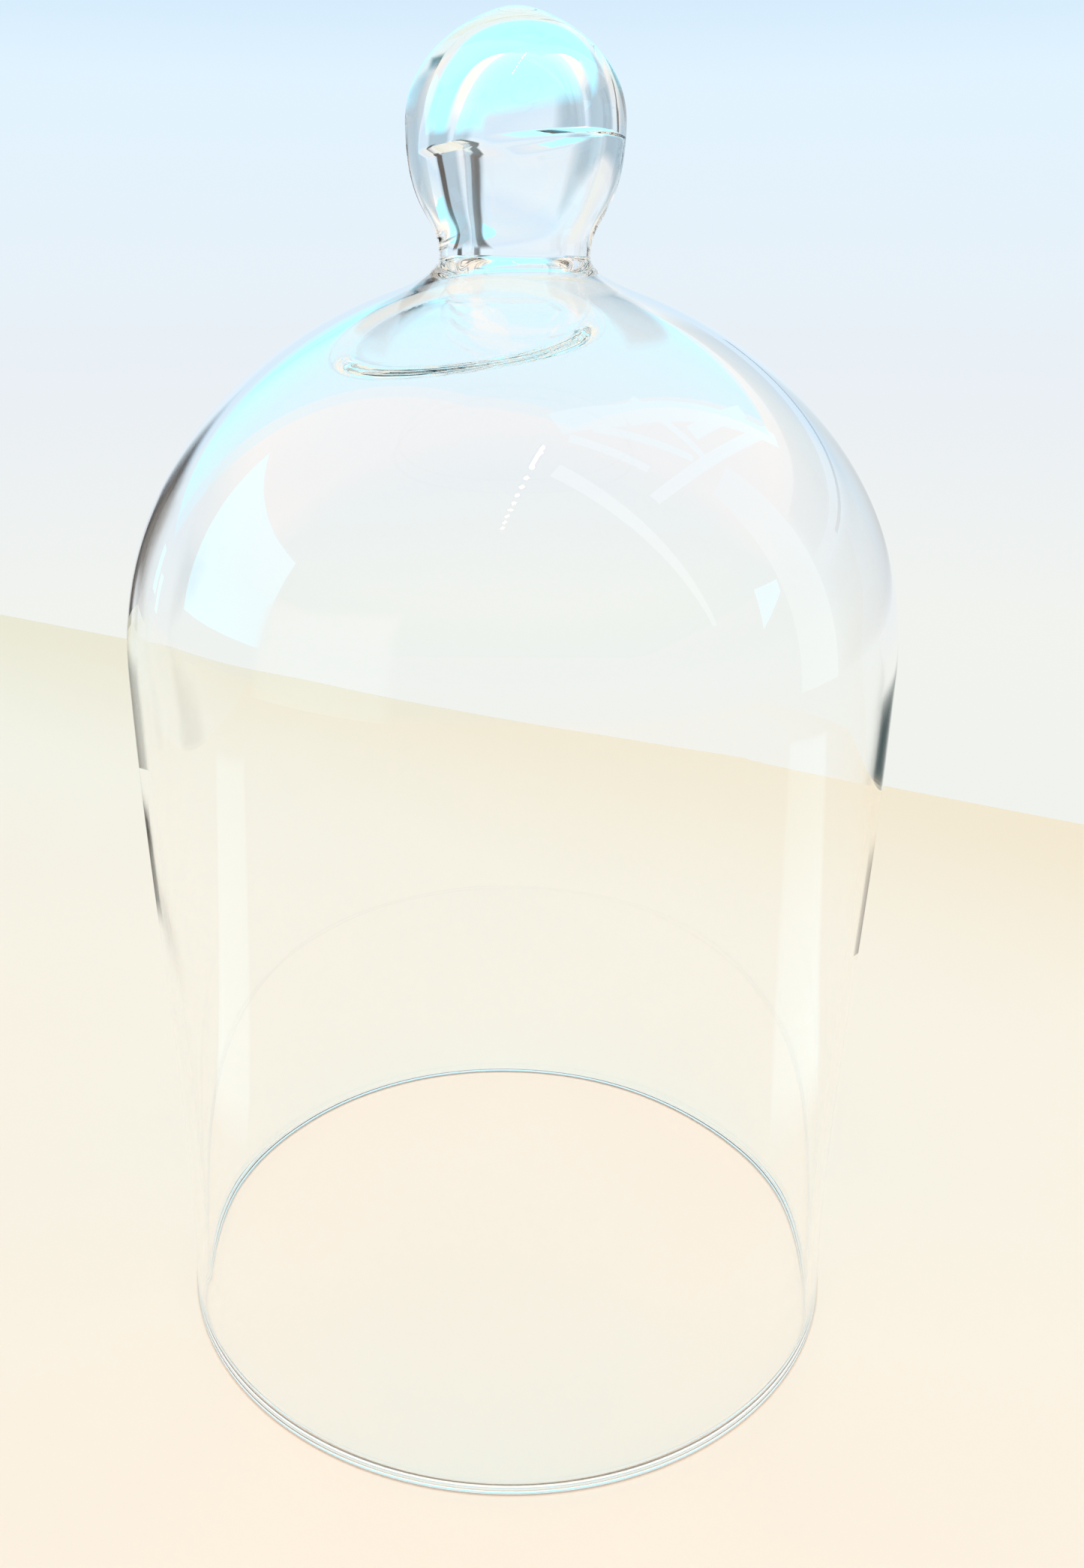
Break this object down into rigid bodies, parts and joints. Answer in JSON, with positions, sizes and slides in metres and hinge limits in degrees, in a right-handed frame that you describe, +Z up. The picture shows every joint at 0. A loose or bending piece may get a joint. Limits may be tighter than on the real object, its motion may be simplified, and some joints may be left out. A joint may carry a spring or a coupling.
{
  "type": "bell jar dome",
  "caption": "Tall clear glass cover with straight sides, a rounded crown and a hollow bulb-shaped lifting knob, open at the bottom.",
  "frame": {"origin": "centre of the open rim, on the surface that the dome stands on", "axes": "+Z up along the dome's axis, towards the knob; X and Y in the plane of the rim"},
  "size_m": [0.2286, 0.2286, 0.3958],
  "materials": {
    "clear_glass": "clear blown glass, fire-polished, with a ground and polished rim"
  },
  "bodies": {
    "root": {"dome_shell": "clear_glass", "knob": "clear_glass"}
  },
  "joints": []
}
